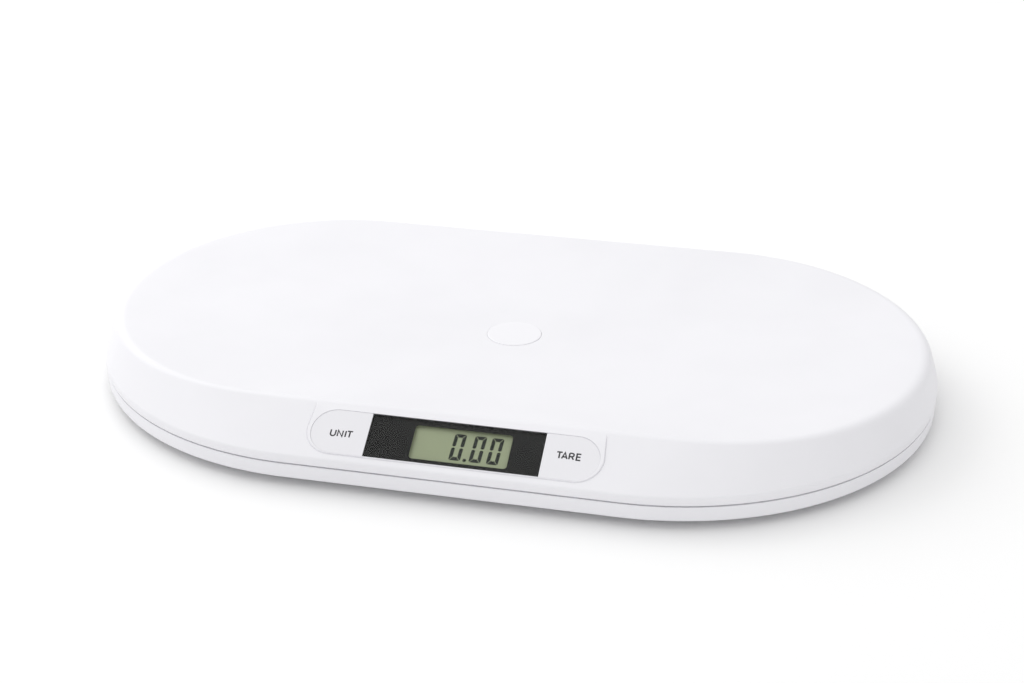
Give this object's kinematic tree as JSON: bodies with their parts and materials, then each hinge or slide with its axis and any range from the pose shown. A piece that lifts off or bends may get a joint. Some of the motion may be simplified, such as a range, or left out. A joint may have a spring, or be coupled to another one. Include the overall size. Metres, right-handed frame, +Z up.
{
  "type": "animal weighing scale",
  "caption": "Oval digital weighing scale for small animals: dished white tray over a low base, sloped front strip with display and two push buttons.",
  "frame": {"origin": "centre of the outline on the floor, under the four foot pads", "axes": "+X along the length, towards the TARE button; +Y to the back; +Z up"},
  "size_m": [0.55, 0.35, 0.0423],
  "materials": {
    "white_shell": "satin",
    "window_clear": "polished",
    "black_plastic": "satin",
    "lcd_panel": "satin",
    "grey_rubber": "matte",
    "circuit_board": "satin",
    "switch_metal": "satin",
    "bright_steel": "satin",
    "battery_can": "satin",
    "lead_sheath": "matte"
  },
  "bodies": {
    "chassis": {"top_shell": "white_shell", "base_shell": "white_shell", "centre_cap": "white_shell", "cell_retainer_front_left": "white_shell", "cell_retainer_front_right": "white_shell", "cell_retainer_back_left": "white_shell", "cell_retainer_back_right": "white_shell", "window_lens": "window_clear", "lcd_holder": "black_plastic", "controller_chip": "black_plastic", "lcd_glass": "lcd_panel", "lcd_connector": "grey_rubber", "main_board": "circuit_board", "unit_switch": "switch_metal", "tare_switch": "switch_metal", "load_cell_front_left": "bright_steel", "load_cell_front_right": "bright_steel", "load_cell_back_left": "bright_steel", "load_cell_back_right": "bright_steel", "unit_board_screw": "bright_steel", "tare_board_screw": "bright_steel", "shell_screw_1": "bright_steel", "shell_screw_2": "bright_steel", "shell_screw_3": "bright_steel", "shell_screw_4": "bright_steel", "shell_screw_5": "bright_steel", "shell_screw_6": "bright_steel", "contact_spring_1": "bright_steel", "contact_spring_2": "bright_steel", "contact_spring_3": "bright_steel", "contact_plate_left_single": "bright_steel", "contact_plate_left_double": "bright_steel", "contact_plate_right_double": "bright_steel", "contact_plate_right_single": "bright_steel", "battery_1": "battery_can", "battery_2": "battery_can", "battery_3": "battery_can", "cell_lead_front_left": "lead_sheath", "cell_lead_front_right": "lead_sheath", "cell_lead_back_left": "lead_sheath", "cell_lead_back_right": "lead_sheath", "battery_lead": "lead_sheath", "foot_pad_front_left": "grey_rubber", "foot_cap_front_left": "white_shell", "foot_pad_front_right": "grey_rubber", "foot_cap_front_right": "white_shell", "foot_pad_back_left": "grey_rubber", "foot_cap_back_left": "white_shell", "foot_pad_back_right": "grey_rubber", "foot_cap_back_right": "white_shell"},
    "unit_button": {"unit_button": "white_shell", "unit_stem": "black_plastic"},
    "tare_button": {"tare_button": "white_shell", "tare_stem": "black_plastic"},
    "battery_door": {"battery_door": "white_shell"}
  },
  "joints": [
    {"name": "unit_press", "type": "slide", "parent": "chassis", "child": "unit_button", "axis": [0, 0.5109, -0.8597], "range_m": [0, 0.0008], "stiffness_N_per_m": 1500},
    {"name": "tare_press", "type": "slide", "parent": "chassis", "child": "tare_button", "axis": [0, 0.5109, -0.8597], "range_m": [0, 0.0008], "stiffness_N_per_m": 1500},
    {"name": "battery_door_hinge", "type": "hinge", "parent": "chassis", "child": "battery_door", "pos_m": [-0.029, 0, 0.006], "axis": [0, 1, 0], "range_deg": [0, 75]}
  ]
}
